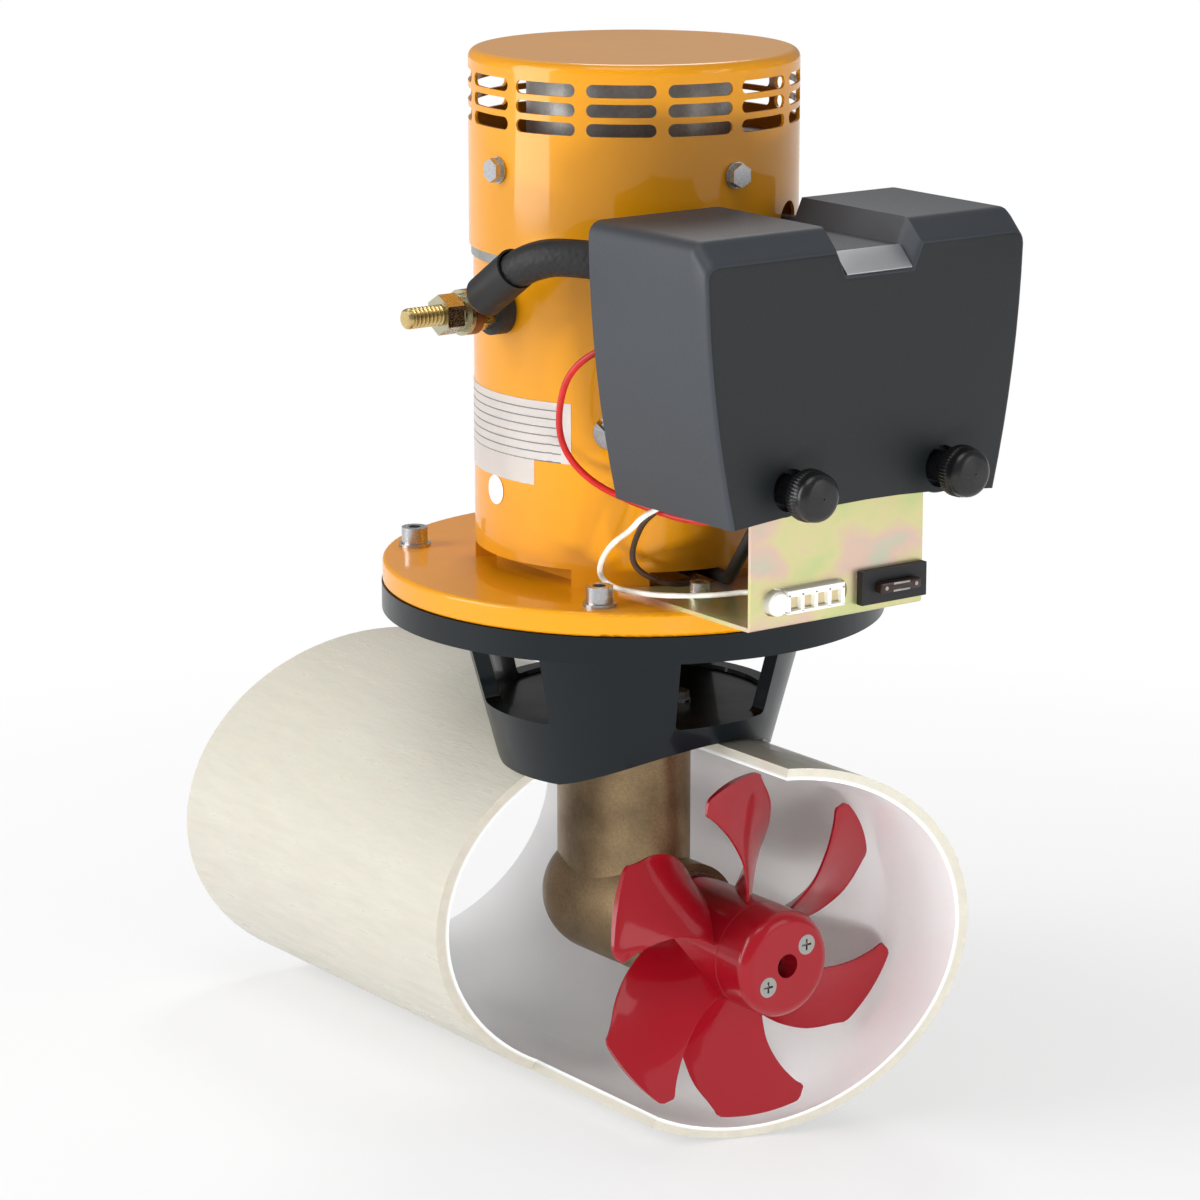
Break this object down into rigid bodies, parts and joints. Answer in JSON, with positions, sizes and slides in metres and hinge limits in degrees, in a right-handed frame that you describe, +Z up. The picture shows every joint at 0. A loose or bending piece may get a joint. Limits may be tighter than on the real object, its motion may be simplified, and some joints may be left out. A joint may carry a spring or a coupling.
{
  "type": "bow thruster",
  "caption": "Electric bow thruster on a cutaway tunnel section: DC motor, mounting plate, windowed flange, bronze gear leg, bladed propeller and a detachable control box.",
  "frame": {"origin": "where the motor axis crosses the tunnel axis", "axes": "+X along the tunnel towards the propeller and the control box's face, +Z up the motor, +Y across the tunnel"},
  "size_m": [0.4752, 0.2585, 0.5295],
  "materials": {
    "laminate": "gelcoat, satin outside and glossy inside",
    "sealant": "matt",
    "cone_paint": "satin dark grey",
    "motor_paint": "glossy yellow",
    "bare_casting": "bare cast, machined rim",
    "zinc": "yellow-passivated zinc",
    "steel": "zinc plated",
    "stainless": "polished",
    "iron": "bare",
    "copper": "bare copper",
    "brass": "bare brass",
    "bronze": "cast bronze",
    "carbon": "matt",
    "rubber_black": "matt",
    "propeller_plastic": "glossy dark red",
    "box_plastic": "fine grained dark grey",
    "silver_plate": "satin",
    "black_plastic": "glossy",
    "white_plastic": "smooth",
    "fuse_red": "glossy",
    "cable_black": "smooth",
    "wire_red": "smooth",
    "wire_white": "smooth",
    "wire_brown": "smooth"
  },
  "bodies": {
    "housing": {"tunnel": "laminate", "tunnel_gasket": "sealant", "support_flange": "cone_paint", "mounting_plate": "motor_paint", "plate_screws": "steel", "lower_bell": "motor_paint", "motor_bearings": "steel", "motor_yoke": "motor_paint", "pole_screws": "steel", "pole_shoes": "iron", "field_coils": "copper", "upper_bell": "bare_casting", "brush_holders": "brass", "carbon_brushes": "carbon", "fan_cover": "motor_paint", "fan_cover_bolts": "steel", "terminal_stud": "brass", "stud_insulator": "black_plastic", "stud_nuts": "brass", "tailpiece_housing": "bronze", "tailpiece_bolts": "stainless", "leg_bearings": "steel", "shaft_seals": "rubber_black", "bearing_cap": "stainless", "control_bracket": "zinc", "bracket_screws": "steel", "connector_housing": "white_plastic", "fuse_holder": "black_plastic", "solenoid_block": "black_plastic", "solenoid_terminals": "copper", "cover_studs": "steel", "cable_lug": "brass", "heat_shrink": "cable_black", "motor_cable": "cable_black", "brush_cable": "cable_black", "field_cable": "cable_black", "red_wire": "wire_red", "brown_wire": "wire_brown", "white_wires": "wire_white"},
    "rotor": {"motor_shaft": "steel", "armature_core": "iron", "armature_windings": "copper", "commutator": "copper", "coupling_upper": "bronze", "coupling_spider": "rubber_black", "coupling_lower": "bronze", "drive_shaft": "stainless", "bevel_pinion": "steel"},
    "propeller_group": {"propeller_shaft": "stainless", "bevel_wheel": "steel", "drive_pin": "stainless", "propeller": "propeller_plastic", "propeller_nut": "stainless", "hub_cap": "propeller_plastic", "hub_cap_screws": "stainless"},
    "box": {"box_cover": "box_plastic", "cover_insert": "silver_plate"},
    "left_knob": {"knob_left": "black_plastic"},
    "right_knob": {"knob_right": "black_plastic"},
    "fuse_body": {"fuse": "fuse_red"}
  },
  "joints": [
    {"name": "rotor_spin", "type": "hinge", "parent": "housing", "child": "rotor", "pos_m": [0, 0, 0], "axis": [0, 0, 1], "continuous": true},
    {"name": "propeller_spin", "type": "hinge", "parent": "housing", "child": "propeller_group", "pos_m": [0, 0, 0], "axis": [1, 0, 0], "continuous": true},
    {"name": "cover_pull", "type": "slide", "parent": "housing", "child": "box", "axis": [1, 0, 0], "range_m": [0, 0.12]},
    {"name": "left_knob_turn", "type": "hinge", "parent": "box", "child": "left_knob", "pos_m": [0.176, -0.0425, 0.249], "axis": [1, 0, 0], "continuous": true},
    {"name": "right_knob_turn", "type": "hinge", "parent": "box", "child": "right_knob", "pos_m": [0.176, 0.0475, 0.249], "axis": [1, 0, 0], "continuous": true},
    {"name": "fuse_pull", "type": "slide", "parent": "housing", "child": "fuse_body", "axis": [1, 0, 0], "range_m": [0, 0.02]}
  ],
  "couplings": [
    {"joint": "propeller_spin", "follows": "rotor_spin", "ratio": -0.6}
  ]
}
